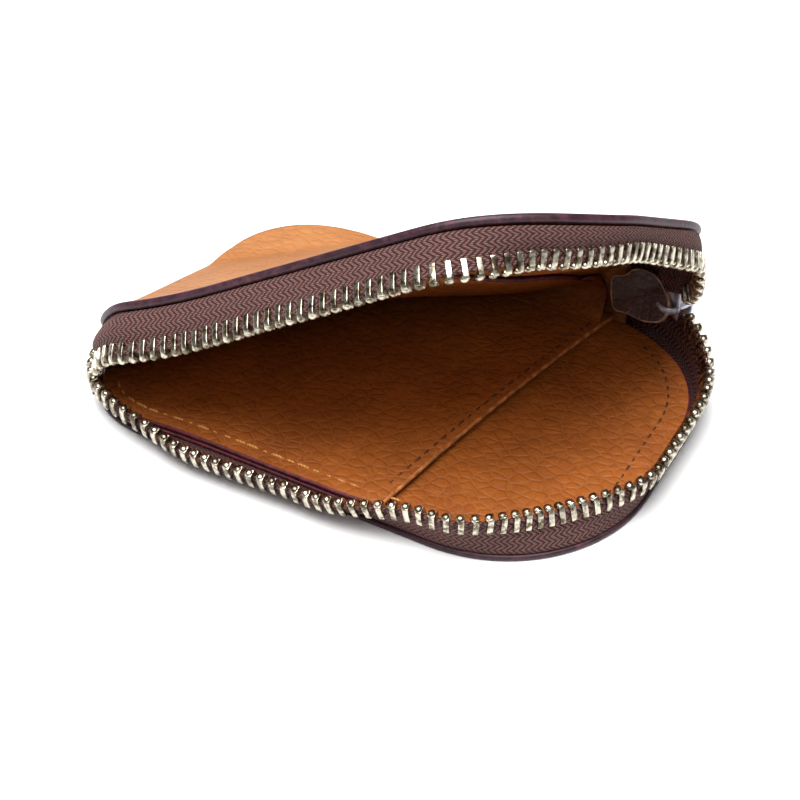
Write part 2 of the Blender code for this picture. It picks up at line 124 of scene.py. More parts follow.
# How far the lower inner layers reach out beyond their own outline.
FRONT_REACH = 2.0 * MM
LEFT_REACH = 1.2 * MM
RIGHT_REACH = 1.3 * MM
# The line that parts the zip's stretch of the edge from the wall's.
ZIP_LEFT_END = np.array((-57.0, -20.0)) * MM
ZIP_BACK_END = np.array((35.0, 37.0)) * MM
WALL_THICKNESS = 1.2 * MM
WALL_BOW = 0.10
WALL_TOP_LIMIT = 24.0 * MM
WALL_END = 32.5 * MM
# Past this place the wall draws in behind the zip's tape, by so much.
WALL_TUCK_FROM = 25
WALL_TUCK = 1.7 * MM
GUSSET_THICKNESS = 0.9 * MM

# How finely leather sheets are meshed, and how round their edges are as a share of the thickness.
PLATE_RAYS = 540
PLATE_RIM = 2.4 * MM
EDGE_ROUNDING = 0.45

# Zip: distances run along the leaf's edge from the middle of the left side, anticlockwise.
FLANGE_Z = LEATHER + GAP
WALL_INSET = 0.8 * MM
LEG_FOOT = 6.3 * MM
TAPE_TOP = 8.7 * MM
TAPE_CORD = 0.55 * MM
TOOTH_PITCH = 2.5 * MM
ZIP_START = 22.0 * MM
FIRST_TOOTH = ZIP_START + 1.2 * MM
TAPE_START = 12.0 * MM
# The upper zip moves with its leaf up to here, and then goes over to the lower leaf.
RAISED_END = 190.0 * MM
TEETH_END = 206.0 * MM
LAST_TOOTH = TEETH_END - 0.4 * MM
SLIDER_AT = 212.5 * MM
TAPE_END = 226.0 * MM
# Toward the slider the upper zip settles by this share onto the closed pouch, and both rise by this much.
SETTLE_START = RAISED_END
SETTLE_SHARE = 0.3
LIFT = 3.4 * MM
# Curves along the zip, each as (mm along the leaf's edge, value), with the lean outward in degrees.
LOWER_LEAN = (
    (15, -12), (40, 26), (65, 68), (90, 62), (115, 16),
    (140, -22), (165, 17), (190, 16), (210, 3), (230, 6),
)
UPPER_LEAN = (
    (15, 4), (40, 21), (65, 16), (90, 21), (115, 21),
    (140, -28), (165, -26), (190, -8), (230, -2),
)
# Share of the lower wall's lean that its teeth keep.
TOOTH_LEAN_SHARE = ((15, 0.3), (90, 0.3), (130, 1.0), (230, 1.0))
# Share of the tape's height that is tucked away, where the tape buckles.
LOWER_TUCK = ((15, 0.2), (40, 0.33), (65, 0.1), (90, 0.15), (115, 0.0), (140, 0.2), (206, 0.0))
UPPER_TUCK = ((15, 0.0), (90, 0.04), (115, 0.1), (140, 0.34), (165, 0.58), (190, 0.4), (206, 0.0))
# How far the upper tape bellies out between its foot and its teeth, in mm.
UPPER_BULGE = ((12, 2.2), (30, 2.0), (55, 0.8), (90, 0.3), (190, 0.3))

# Slider and pull tab: the tab swings about the bridge, tilts back and is bent along its crease.
SLIDER_LENGTH = 9.0 * MM
SLIDER_HEIGHT = 8.0 * MM
SLIDER_MOUTH = 2.8 * MM
SLIDER_PLATE = 0.9 * MM
SLIDER_RISE = 15.0 * MM
SLIDER_OUT = -0.1 * MM
PLATE_OUT = (SLIDER_MOUTH + SLIDER_PLATE) / 2
BRIDGE_SHIFT = 1.8 * MM
ARCH_HALF = 2.7 * MM
ARCH_RISE = 2.5 * MM
TOP_STOP_AT = ZIP_START - 1.6 * MM
TOP_STOP_SIZE = (2.2 * MM, 4.6 * MM, 2.6 * MM)
BOTTOM_STOP_AT = 223.5 * MM
BOTTOM_STOP_SIZE = (1.6 * MM, 5.0 * MM, 2.4 * MM)
TAB_SWING = math.radians(30.0)
TAB_THICKNESS = 2.0 * MM
TAB_PAST_PIVOT = 2.4 * MM
TAB_TILT = math.radians(35.0)
TAB_BEND = 0.45 * MM
# Corners of the tab in mm, before they are rounded: from its folded end outward, and up from the pivot.
TAB_OUTLINE = (
    (0.6, 2.9), (2.6, 5.2), (5.6, 8.0), (10.2, 8.2), (11.9, 5.6), (14.8, 5.2),
    (13.6, -0.2), (12.2, -2.0), (9.3, -1.7), (5.1, -2.4), (1.3, -1.4), (0.5, 0.4),
)
# A point of the crease across the tab, in mm, and the direction square to it.
CREASE_AT = np.array((5.6, 5.2))
CREASE_NORMAL = np.array((0.58, 0.81))


# ---------------------------------------- where things lie


def smooth(share):
    """Goes from 0 to 1 as share does, level at both ends."""
    share = np.clip(share, 0.0, 1.0)
    return share * share * (3 - 2 * share)


def ease(value, stations):
    """Reads a curve given as (place, height) stations, easing from each station to the next."""
    places = [p for p, _ in stations]
    heights = [h for _, h in stations]
    index = np.clip(np.searchsorted(places, value, side="right") - 1, 0, len(places) - 2)
    p0, p1 = np.take(places, index), np.take(places, index + 1)
    h0, h1 = np.take(heights, index), np.take(heights, index + 1)
    return h0 + (h1 - h0) * smooth((value - p0) / (p1 - p0))


def sag(points):
    """How far the leather lies off the tilted and curled shape, upward."""
    across = (points[..., :2] - TILT_POINT) @ ACROSS / MM
    sideways = (points[..., :2] - TILT_POINT) @ SIDEWAYS / MM
    return (ease(across, SAG_ACROSS) + ease(sideways, SAG_SIDEWAYS)) * MM


def tilt(points):
    """Where points of the closed pouch lie once the upper leaf is tilted and curled up."""
    points = np.asarray(points, float)
    across = (points[..., :2] - TILT_POINT) @ ACROSS
    behind = np.minimum(across - CURL_START, 0)
    beyond = np.maximum(across - CURL_END, 0)
    curled = np.clip(across - CURL_START, 0, CURL_END - CURL_START)
    angle = TILT_ANGLE + curled / CURL_RADIUS
    run = CURL_START + CURL_RADIUS * (np.sin(angle) - math.sin(TILT_ANGLE))
    run += behind * math.cos(TILT_ANGLE) + beyond * math.cos(CURL_ANGLE)
    rise = CURL_RADIUS * (math.cos(TILT_ANGLE) - np.cos(angle))
    rise += behind * math.sin(TILT_ANGLE) + beyond * math.sin(CURL_ANGLE)
    above = points[..., 2] - LEVEL_Z
    run = run - above * np.sin(angle)
    rise = rise + above * np.cos(angle)
    moved = np.empty_like(points)
    moved[..., :2] = points[..., :2] + (run - across)[..., None] * ACROSS
    lowest = LOWEST_LEAF + above
    height = TILT_HEIGHT + rise + sag(points)
    moved[..., 2] = lowest + SOFT_LANDING * np.logaddexp(0, (height - lowest) / SOFT_LANDING)
    return moved


def stay(points):
    """A copy of points, left where they are."""
    return np.asarray(points, float).copy()


def upside_down(points):
    """Points laid out on the lower leaf, turned over onto the closed upper one."""
    points = stay(points)
    points[..., 2] = CLOSED_HEIGHT - points[..., 2]
    return points


def upper_place(points):
    """Where points laid out on the lower leaf lie when they belong to the open upper one."""
    return tilt(upside_down(points))


def corners():
    """The round corners, anticlockwise from the front left: centre x and y, radius and start angle."""
    half_w = LEAF_WIDTH / 2
    half_d = LEAF_DEPTH / 2
    ways = ((-1, -1), (1, -1), (1, 1), (-1, 1))
    radii = (FRONT_LEFT_RADIUS, FRONT_RIGHT_RADIUS, BACK_RIGHT_RADIUS, BACK_LEFT_RADIUS)
    found = []
    for i, ((x, y), radius) in enumerate(zip(ways, radii)):
        found.append((x * (half_w - radius), y * (half_d - radius), radius, math.pi * (1 + i / 2)))
    return found


def leaf_outline(inset):
    """The leaf's outline moved in by inset, anticlockwise, as an array of points."""
    points = []
    for x, y, radius, start in corners():
        angles = start + np.linspace(0, math.pi / 2, 24)
        reach = max(radius - inset, 0.01 * MM)
        points += [(x + reach * math.cos(a), y + reach * math.sin(a)) for a in angles]
    return np.array(points)


def edge_at(distance):
    """Point and outward direction at a distance along the leaf's edge from the middle of the left side."""
    half_w = LEAF_WIDTH / 2
    half_d = LEAF_DEPTH / 2
    runs = (half_d - FRONT_LEFT_RADIUS, LEAF_WIDTH - FRONT_LEFT_RADIUS - FRONT_RIGHT_RADIUS,
            LEAF_DEPTH - FRONT_RIGHT_RADIUS - BACK_RIGHT_RADIUS)
    left = distance
    for (x, y, radius, start), run in zip(corners(), runs):
        outward = np.array((math.cos(start), math.sin(start), 0))
        heading = np.array((-outward[1], outward[0], 0))
        first = np.array((x, y, 0)) + outward * radius
        if left < run:
            return first - heading * (run - left), outward
        left -= run
        turn = radius * math.pi / 2
        if left < turn:
            angle = start + left / radius
            outward = np.array((math.cos(angle), math.sin(angle), 0))
            return np.array((x, y, 0)) + outward * radius, outward
        left -= turn
    return np.array((half_w - BACK_RIGHT_RADIUS - left, half_d, 0)), np.array((0.0, 1.0, 0.0))


def lean_at(distance, upper):
    """The wall's lean outward in radians."""
    return math.radians(float(ease(distance / MM, UPPER_LEAN if upper else LOWER_LEAN)))


def tuck_at(distance, upper):
    """Share of the tape's height that is tucked away."""
    return float(ease(distance / MM, UPPER_TUCK if upper else LOWER_TUCK))


def corner_reach(points):
    """The lower leaf is pulled outward a little at its front left corner, with all that lies on it."""
    points = stay(points)
    away = np.sum(((points[..., :2] - CORNER_AT) / CORNER_SPREAD) ** 2, -1)
    points[..., :2] -= (np.exp(-away) * CORNER_PULL)[..., None]
    return points


def near_slider(distance):
    """Grows from 0 at SETTLE_START to 1 where the teeth end, beside the slider."""
    return float(smooth((distance - SETTLE_START) / (TEETH_END - SETTLE_START)))


def chain_point(distance, height, side, upper):
    """A point of the zip's wall, at a height above its foot and a distance to its outer side."""
    mm = distance / MM
    point, outward = edge_at(distance)
    lean = lean_at(distance, upper)
    foot = point - outward * WALL_INSET + UP * FLANGE_Z
    lift = UP * LIFT * near_slider(distance) * min(height / LEG_FOOT, 1.0)
    # The wall leaves the leaf more upright than it ends, and the lower teeth stand up again from its top.
    web = min(height, LEG_FOOT)
    bend = lean * (0.55 + 0.45 * web / LEG_FOOT)
    flat = foot + (UP * math.cos(bend) + outward * math.sin(bend)) * web * (1 - tuck_at(distance, upper))
    if upper:
        bulge = float(ease(mm, UPPER_BULGE)) * MM
        flat = flat + outward * bulge * math.sin(math.pi * web / LEG_FOOT)
    if height > LEG_FOOT:
        bend = lean if upper else lean * float(ease(mm, TOOTH_LEAN_SHARE))
        flat = flat + (UP * math.cos(bend) + outward * math.sin(bend)) * (height - LEG_FOOT)
    flat = flat + (outward * math.cos(bend) - UP * math.sin(bend)) * side
    if not upper:
        return corner_reach(flat) + lift
    placed = upper_place(flat)
    return placed + (upside_down(flat) + lift - placed) * SETTLE_SHARE * near_slider(distance)


def chain_frame(distance, upper):
    """Place of a tooth's foot, and unit directions along the zip, to the tooth's side and up to its head."""
    step = 0.2 * MM
    here = chain_point(distance, LEG_FOOT, 0, upper)
    along = chain_point(distance + step, LEG_FOOT, 0, upper)
    along -= chain_point(distance - step, LEG_FOOT, 0, upper)
    rise = chain_point(distance, LEG_FOOT + step, 0, upper) - here
    side = chain_point(distance, LEG_FOOT, step, upper) - here
    along /= np.linalg.norm(along)
    rise -= along * (rise @ along)
    rise /= np.linalg.norm(rise)
    across = np.cross(rise, along)
    if across @ side < 0:
        across = -across
    return here, along, across, rise


# ---------------------------------------- node materials


class Nodes:
    """A short way to write a material's node tree."""

    def __init__(self, name):
        self.material = bpy.data.materials.new(name)
        self.material.use_nodes = True
        self.tree = self.material.node_tree
        self.shader = self.tree.nodes["Principled BSDF"]

    def add(self, kind, values=None, **settings):
        node = self.tree.nodes.new("ShaderNode" + kind)
        for key, value in settings.items():
            setattr(node, key, value)
        for key, value in (values or {}).items():
            if isinstance(value, bpy.types.NodeSocket):
                self.tree.links.new(value, node.inputs[key])
            else:
                node.inputs[key].default_value = value
        return node

    def maths(self, operation, a, b=0.0, c=0.0):
        return self.add("Math", {0: a, 1: b, 2: c}, operation=operation).outputs[0]

    def times(self, a, b, plus=None):
        """The product of two values, with a third added to it where one is given."""
        if plus is None:
            return self.maths("MULTIPLY", a, b)
        return self.maths("MULTIPLY_ADD", a, b, plus)

    def mix(self, share, a, b):
        return self.add("Mix", {0: share, 6: a, 7: b}, data_type="RGBA").outputs[2]

    def ramp(self, value, low, high):
        """Goes from 0 at low to 1 at high."""
        return self.add("MapRange", {0: value, 1: low, 2: high}, interpolation_type="SMOOTHSTEP").outputs[0]

    def noise(self, place, scale, detail=4.0, roughness=0.55):
        values = {"Vector": place, "Scale": scale, "Detail": detail, "Roughness": roughness}
        return self.add("TexNoise", values).outputs[0]

    def place(self):
        return self.add("TexCoord").outputs["Object"]

    def set(self, name, value):
        if isinstance(value, bpy.types.NodeSocket):
            self.tree.links.new(value, self.shader.inputs[name])
        else:
            self.shader.inputs[name].default_value = value

    def bump(self, height, distance, strength=1.0, under=None):
        values = {"Height": height, "Distance": distance, "Strength": strength}
        if under is not None:
            values["Normal"] = under
        return self.add("Bump", values).outputs[0]


def rgb(r, g, b):
    """A colour given as the eye sees it (sRGB, 0 to 255), as the shader wants it."""
    linear = [c / 255 / 12.92 if c <= 10 else ((c / 255 + 0.055) / 1.055) ** 2.4 for c in (r, g, b)]
    return (*linear, 1.0)


def leather(name, face, crease, deep, cell=2.1 * MM, grain=0.30 * MM, gloss=0.42, contrast=1.0):
    """Tumbled leather: soft low pebbles parted by fine broken creases that catch the light, with pores, and
    painted shade darkening the low ground between the pebbles.
    """
    n = Nodes(name)
    place = n.place()
    warp = n.add("TexNoise", {"Vector": place, "Scale": 210.0, "Detail": 3.0}).outputs[1]
    shift = n.add("VectorMath", {0: warp, 1: (0.5, 0.5, 0.5)}, operation="SUBTRACT").outputs[0]
    shift = n.add("VectorMath", {0: shift, 3: 1.6 * MM}, operation="SCALE").outputs[0]
    warped = n.add("VectorMath", {0: place, 1: shift}, operation="ADD").outputs[0]
    drawn_out = {"Vector": warped, "Rotation": (0, 0, 0.5), "Scale": (0.72, 1.0, 1.0)}
    warped = n.add("Mapping", drawn_out).outputs[0]
    cell_values = {"Vector": warped, "Scale": 1 / cell, "Randomness": 0.85}
    cells = n.add("TexVoronoi", cell_values, feature="DISTANCE_TO_EDGE").outputs["Distance"]
    dome = n.add("TexVoronoi", {**cell_values, "Smoothness": 0.6}, feature="SMOOTH_F1").outputs["Distance"]
    small_values = {"Vector": warped, "Scale": 2.7 / cell}
    small = n.add("TexVoronoi", small_values, feature="DISTANCE_TO_EDGE").outputs["Distance"]
    broken = n.ramp(n.noise(place, 420.0, 3.0), 0.42, 0.58)
    line = n.times(n.ramp(cells, 0.11, 0.0), n.times(broken, 0.75, 0.25))
    fine = n.times(n.ramp(small, 0.06, 0.0), n.maths("SUBTRACT", 1.0, broken))
    pores = n.noise(place, 3400.0, 3.0)
    cloud = n.noise(place, 60.0, 3.0)
    colour = n.mix(n.times(cloud, 1.3, -0.1), deep, face)
    # Painted shade: the colour darkens toward deep away from each pebble's middle, where the bump lowers the
    # surface.
    colour = n.mix(n.times(n.ramp(dome, 0.25, 0.75), 0.30 * contrast), colour, deep)
    colour = n.mix(n.times(line, 0.13 * contrast), colour, crease)
    colour = n.mix(n.times(fine, 0.06 * contrast), colour, crease)
    colour = n.mix(n.times(n.ramp(pores, 0.54, 0.70), 0.22), colour, deep)
    n.set("Base Color", colour)
    n.set("Roughness", n.times(pores, 0.22, gloss))
    n.set("Specular IOR Level", 0.35)
    height = n.times(n.ramp(cells, 0.0, 0.22), 0.55, n.times(dome, -0.7))
    height = n.times(n.ramp(small, 0.0, 0.3), 0.10, height)
    height = n.times(pores, 0.10, height)
    n.set("Normal", n.bump(height, grain, 0.7))
    return n.material


def edge_paint(name, colour, worn):
    """Painted leather edge: dark and slightly glossy, uneven, worn through in places."""
    n = Nodes(name)
    place = n.place()
    cloud = n.noise(place, 520.0, 5.0, 0.65)
    streak = n.noise(place, 110.0, 3.0)
    wear = n.ramp(n.times(cloud, streak), 0.30, 0.42)
    pale = (*(min(1, c * 2.4) for c in colour[:3]), 1)
    tone = n.mix(n.ramp(cloud, 0.38, 0.68), colour, pale)
    n.set("Base Color", n.mix(n.times(wear, 0.25), tone, worn))
    n.set("Roughness", n.times(cloud, 0.3, 0.32))
    n.set("Specular IOR Level", 0.35)
    n.set("Normal", n.bump(cloud, 0.2 * MM, 0.8))
    return n.material


def woven(name, dark, light):
    """Herringbone zip tape: slanting ribs that turn at each column, on the piece's UV map in metres."""
    n = Nodes(name)
    uv = n.add("UVMap", uv_map="weave").outputs[0]
    wobble = n.add("TexNoise", {"Vector": n.place(), "Scale": 900.0, "Detail": 2.0}).outputs[1]
    wobble = n.add("VectorMath", {0: wobble, 3: 0.42 * MM}, operation="SCALE").outputs[0]
    parts = n.add("SeparateXYZ", {0: n.add("VectorMath", {0: uv, 1: wobble}, operation="ADD").outputs[0]})
    along, height = parts.outputs[0], parts.outputs[1]
    column = n.maths("PINGPONG", height, 1.25 * MM)
    rib = n.maths("DIVIDE", n.times(column, 1.15, along), 1.2 * MM)
    ribs = n.ramp(n.maths("PINGPONG", rib, 0.5), 0.04, 0.36)
    yarn = n.ramp(n.maths("PINGPONG", n.maths("DIVIDE", height, 0.42 * MM), 0.5), 0.02, 0.3)
    thread = n.times(ribs, n.times(yarn, 0.6, 0.4))
    fuzz = n.noise(n.place(), 4200.0, 2.0)
    shade = n.times(thread, n.times(fuzz, 1.1, 0.35))
    n.set("Base Color", n.mix(shade, dark, light))
    n.set("Roughness", 0.8)
    n.set("Sheen Weight", 0.12)
    n.set("Sheen Roughness", 0.5)
    n.set("Sheen Tint", rgb(170, 130, 125))
    n.set("Specular IOR Level", 0.25)
    n.set("Normal", n.bump(n.times(fuzz, 0.3, thread), 0.26 * MM, 0.9))
    return n.material


def metal(name, bright, dull, roughness=0.2, metallic=1.0):
    """Nickel silver: polished on the high spots, slightly tarnished and scratched elsewhere."""
    n = Nodes(name)
    place = n.place()
    cloud = n.noise(place, 700.0, 4.0, 0.6)
    scratch = n.noise(n.add("Mapping", {"Vector": place, "Scale": (1.0, 1.0, 9.0)}).outputs[0], 1500.0, 3.0)
    n.set("Base Color", n.mix(n.ramp(cloud, 0.40, 0.62), bright, dull))
    n.set("Metallic", metallic)
    n.set("Roughness", n.times(n.maths("ADD", cloud, scratch), 0.12, roughness - 0.06))
    n.set("Normal", n.bump(scratch, 0.05 * MM, 0.5))
    return n.material


def thread_look(name, colour, shade):
    """Waxed thread with its twist."""
    n = Nodes(name)
    place = n.place()
    values = {"Vector": place, "Scale": 900.0, "Distortion": 1.5}
    twist = n.add("TexWave", values, bands_direction="DIAGONAL").outputs[1]
    n.set("Base Color", n.mix(n.times(twist, 0.6, 0.1), colour, shade))
    n.set("Roughness", 0.55)
    n.set("Normal", n.bump(twist, 0.08 * MM, 0.7))
    return n.material


def plain(name, colour, roughness):
    """An even matt surface."""
    n = Nodes(name)
    n.set("Base Color", colour)
    n.set("Roughness", roughness)
    return n.material


LOOKS = {
    "outer": leather("outer_leather_grain", rgb(178, 120, 72), rgb(200, 150, 104), rgb(144, 88, 44),
                     contrast=0.6),
    "inner": leather("lining_leather_grain", rgb(170, 94, 32), rgb(206, 140, 74), rgb(112, 54, 14)),
    "edge": edge_paint("edge_paint_plum", rgb(44, 22, 30), rgb(120, 70, 52)),
    "inner_edge": edge_paint("edge_paint_wine", rgb(66, 22, 30), rgb(120, 50, 40)),
    "cut": edge_paint("cut_leather_edge", rgb(138, 84, 44), rgb(180, 130, 80)),
    "tape": woven("zip_tape_herringbone", rgb(36, 20, 20), rgb(122, 84, 79)),
    "metal": metal("zip_nickel", rgb(206, 198, 180), rgb(92, 82, 64), 0.24),
    "slider": metal("slider_nickel", rgb(206, 206, 214), rgb(166, 166, 178), 0.4, 0.7),
    "pull": leather("pull_leather_grain", rgb(96, 72, 66), rgb(140, 114, 106), rgb(46, 30, 27),
                    cell=1.1 * MM, gloss=0.3),
    "pull_edge": edge_paint("pull_edge_pale", rgb(134, 106, 88), rgb(190, 165, 140)),
    "pale": thread_look("thread_pale", rgb(222, 160, 84), rgb(150, 88, 34)),
    "dark": thread_look("thread_dark", rgb(88, 46, 18), rgb(46, 22, 10)),
}


# ---------------------------------------- making pieces


def make_object(name, points, faces, looks, face_looks=None, uv=None):
    """A smooth mesh object: looks are names in LOOKS, face_looks their numbers for each face."""
    mesh = bpy.data.meshes.new(name)
    mesh.from_pydata([tuple(p) for p in points], [], [tuple(int(i) for i in f) for f in faces])
    for look in looks:
        mesh.materials.append(LOOKS[look])
    if face_looks is not None:
        mesh.polygons.foreach_set("material_index", np.asarray(face_looks, np.int32))
    if uv is not None:
        layer = mesh.uv_layers.new(name="weave")
        loops = np.zeros(len(mesh.loops), np.int32)
        mesh.loops.foreach_get("vertex_index", loops)
        layer.data.foreach_set("uv", np.asarray(uv, np.float32)[loops].ravel())
    mesh.shade_smooth()
    mesh.update()
    made = bpy.data.objects.new(name, mesh)
    bpy.context.scene.collection.objects.link(made)
    fix_normals(made)
    return made


def fix_normals(thing):
    """Turns every shell of a mesh to face out."""
    bm = bmesh.new()
    bm.from_mesh(thing.data)
    bmesh.ops.recalc_face_normals(bm, faces=bm.faces)
    bm.to_mesh(thing.data)
    bm.free()


def round_angles(count):
    """Evenly spread angles of a full turn."""
    return np.linspace(0, 2 * math.pi, count, endpoint=False)


def squared(value, power):
    """A sine or cosine pushed toward -1 and 1, so that a circle drawn with it gets flat sides."""
    return math.copysign(abs(value) ** power, value)


def settle_piece(piece, body, slot, *nodes):
    """Hangs a finished piece on what it rides on and hides the frame parts it stands for; slot, what it takes
    its finish from, is not used.
    """
    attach(piece, body)
    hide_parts(*nodes)


def blend_piece(piece, start, end, slot, *nodes):
    """Bakes into its mesh the placement of a piece that goes over from the lower leaf to the upper leaf, and
    hides the frame parts it stands for; start, end and slot are not used.
    """
    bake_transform(piece)
    if nodes:
        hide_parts(*nodes)


def clip(polygon, point, normal):
    """The part of a convex polygon on the side of a line that its normal points to."""
    kept = []
    side = (polygon - point) @ normal
    for i in range(len(polygon)):
        j = (i + 1) % len(polygon)
        if side[i] >= 0:
            kept.append(polygon[i])
        if (side[i] >= 0) != (side[j] >= 0):
            share = side[i] / (side[i] - side[j])
            kept.append(polygon[i] + (polygon[j] - polygon[i]) * share)
    return np.array(kept)


def region(inset, lines, deeper):
    """The leaf's outline less an inset, cut by lines, with every side moved in further by deeper."""
    polygon = leaf_outline(inset + deeper)
    for point, normal in lines:
        polygon = clip(polygon, point + normal * deeper, normal)
    return polygon


def rays_to(polygon, centre, angles):
    """Where rays from the centre cross a convex polygon."""
    reach = polygon - centre
    bearing = np.arctan2(reach[:, 1], reach[:, 0])
    order = np.argsort(bearing)
    reach, bearing = reach[order], bearing[order]
    keep = np.concatenate(([True], np.diff(bearing) > 1e-7))
    reach, bearing = reach[keep], bearing[keep]
    after = np.searchsorted(bearing, angles, side="right") % len(bearing)
    a, b = reach[after - 1], reach[after]
    heading = np.stack((np.cos(angles), np.sin(angles)), 1)
    side = b - a
    share = (a[:, 0] * side[:, 1] - a[:, 1] * side[:, 0])
    share = share / (heading[:, 0] * side[:, 1] - heading[:, 1] * side[:, 0])
    return centre + heading * share[:, None]


def waves(points, size, seed):
    """A gentle unevenness of about one unit, as a sum of a few long waves."""
    x, y = points[..., 0] / size, points[..., 1] / size
    total = np.sin(1.7 * x + 0.9 * y + seed) + 0.6 * np.sin(-1.1 * x + 2.3 * y + 2.1 * seed)
    total += 0.45 * np.sin(3.1 * x - 1.9 * y + 3.7 * seed) + 0.3 * np.sin(4.3 * x + 3.7 * y + 0.7 * seed)
    return total / 2.35


def plate(name, inset, lines, low, high, shape, looks, special=None, rings=62):
    """A sheet of leather with rounded edges. shape takes its flat points to where they lie.

    looks are the materials of its upper face, its edge and its lower face, as laid out flat. Where special
    says so of a flat outline point, the edge takes the fourth look instead.
    """
    polygon = region(inset, lines, 0)
    centre = polygon.mean(0)
    angles = np.linspace(-math.pi, math.pi, PLATE_RAYS, endpoint=False)
    if lines:
        # A ray also goes to where each long side starts, so that the corners of a cut stay sharp.
        reach = polygon - centre
        side = np.abs(np.diff(np.concatenate((polygon, polygon[:1])), axis=0)).sum(1)
        angles = np.concatenate((angles, np.arctan2(reach[:, 1], reach[:, 0])[side > 3 * MM]))
    angles = np.unique(np.round(angles, 6))
    radius = (high - low) * EDGE_ROUNDING
    rows, looks_of = [], []

    def ring(deeper):
        return rays_to(region(inset, lines, deeper), centre, angles)

    def add(points, z, look):
        rows.append(np.column_stack((points, np.full(len(points), z))))
        looks_of.append(look)

    rounding = []
    for angle in np.linspace(0, math.pi / 2, 5):
        rounding.append((radius * (1 - math.sin(angle)), radius * (1 - math.cos(angle))))
    core = ring(PLATE_RIM)
    shares = np.linspace(0.02, 1.0, rings)
    rim = (1.6 * MM, 1.0 * MM, radius * 1.25)
    for share in shares:
        add(centre + (core - centre) * share, high, 0)
    for deeper in rim:
        add(ring(deeper), high, 0)
    for deeper, drop in rounding:
        add(ring(deeper), high - drop, 1)
    for deeper, drop in rounding[::-1]:
        add(ring(deeper), low + drop, 1)
    for deeper in rim[::-1]:
        add(ring(deeper), low, 2)
    for share in shares[::-1]:
        add(centre + (core - centre) * share, low, 2)

    count = len(angles)
    edge_looks = [3 if special and special(point) else 1 for point in ring(0)]
    points = np.concatenate(rows + [np.array([[*centre, high], [*centre, low]])])
    faces, face_looks = [], []
    index = np.arange(count)
    following = (index + 1) % count
    for row in range(len(rows) - 1):
        a, b = row * count, (row + 1) * count
        faces += np.stack((a + index, a + following, b + following, b + index), 1).tolist()
        look = looks_of[row] if looks_of[row] == looks_of[row + 1] else 1
        face_looks += edge_looks if look == 1 else [look] * count
    last = (len(rows) - 1) * count
    for i in range(count):
        j = (i + 1) % count
        faces.append((i, j, len(points) - 2))
        faces.append((last + i, last + j, len(points) - 1))
        face_looks += [0, 2]
    return make_object(name, shape(points), faces, looks, face_looks)


def tube(name, rings, looks, row_looks=None, uv=None):
    """A closed skin through rings of equal size, with a look for each row of faces between two rings."""
    count = len(rings[0])
    faces, face_looks = [], []
    for row in range(len(rings) - 1):
        for i in range(count):
            j = (i + 1) % count
            faces.append((row * count + i, row * count + j, (row + 1) * count + j, (row + 1) * count + i))
            face_looks.append(row_looks[row] if row_looks else 0)
    faces.append(tuple(range(count))[::-1])
    faces.append(tuple((len(rings) - 1) * count + i for i in range(count)))
    return make_object(name, np.concatenate(rings), faces, looks, face_looks + [0, 0], uv)


def steps_between(start, end, spacing):
    """Evenly spread values from start to end, about a spacing apart."""
    count = max(1, round((end - start) / spacing))
    return [start + (end - start) * i / count for i in range(count + 1)]


# ---------------------------------------- leather pieces


def lines_from(start):
    """The cut across the closed back left corner, for a layer that starts at this distance."""
    return [(TILT_POINT + ACROSS * start, ACROSS)]


def mouth_line(shift):
    """The cut along the pocket's mouth, moved along X by shift."""
    front, back = POCKET_MOUTH
    heading = (back - front) / np.linalg.norm(back - front)
    return (front + np.array((shift, 0)), np.array((-heading[1], heading[0])))


def behind_zip(point):
    """Whether an outline point lies at the left or back, where the leather runs on into the wall."""
    x, y = point - ZIP_LEFT_END
    across, deep = ZIP_BACK_END - ZIP_LEFT_END
    return y * across > x * deep


def past(place, start, span):
    """Goes from 0 to 1 as a place passes from start on over a span; start and span are in mm."""
    return smooth((place / MM - start) / span)


def reach_out(points):
    """The lower inner layers reach further out where the tape leans outward."""
    points = corner_reach(points)
    front = past(-points[:, 1], 18, 16) * past(-points[:, 0], -36, 30)
    sideways = RIGHT_REACH * past(points[:, 0], 34, 18) - LEFT_REACH * past(-points[:, 0], 36, 16)
    points[:, 0] += sideways
    points[:, 1] -= FRONT_REACH * front
    return points


def crown(places, half):
    """Goes from 1 in the middle to 0 at half a width."""
    return np.clip(1 - (places / half) ** 2, 0, 1)


def make_outer_leaves():
    def upper(points):
        """The open leaf also swells a little between its edges."""
        flat = stay(points)
        swell = crown(flat[:, 0], LEAF_WIDTH / 2) * crown(flat[:, 1], LEAF_DEPTH / 2)
        flat[:, 2] += swell * 1.2 * MM + waves(flat, 14 * MM, 1.3) * 0.12 * MM * swell
        return tilt(flat)

    panel = plate("lower_panel", 0, [], 0, LEATHER, corner_reach,
                  ("inner", "edge", "outer", "outer"), behind_zip, rings=40)
    settle_piece(panel, LOWER, "outer_leather", "outer_panel_lower")
    panel = plate("upper_panel", 0, [], LEVEL_Z, CLOSED_HEIGHT + 0.4 * MM, upper,
                  ("outer", "edge", "inner", "outer"), behind_zip)
    settle_piece(panel, UPPER, "outer_leather", "outer_panel_upper")


def mouth_distance(points):
    """Distance of flat points to the pocket's mouth edge."""
    point, normal = mouth_line(0)
    return (points[..., :2] - point) @ normal


def make_linings():
    def lower(points):
        points = reach_out(points)
        points[:, 2] += waves(points, LEATHER_WAVE, 0.4) * 0.12 * MM
        return points

    looks = ("inner", "inner_edge", "inner")
    lining = plate("lower_lining", LINING_INSET, lines_from(LOWER_LINING_FROM),
                   LINING_LOW, LINING_TOP, lower, looks)
    settle_piece(lining, LOWER, "lining_leather", "lining_lower")
    lining = plate("upper_lining", LINING_INSET, lines_from(UPPER_LINING_FROM),
                   CLOSED_HEIGHT - LINING_TOP, CLOSED_HEIGHT - LINING_LOW, tilt, looks, rings=40)
    settle_piece(lining, UPPER, "lining_leather", "lining_upper")


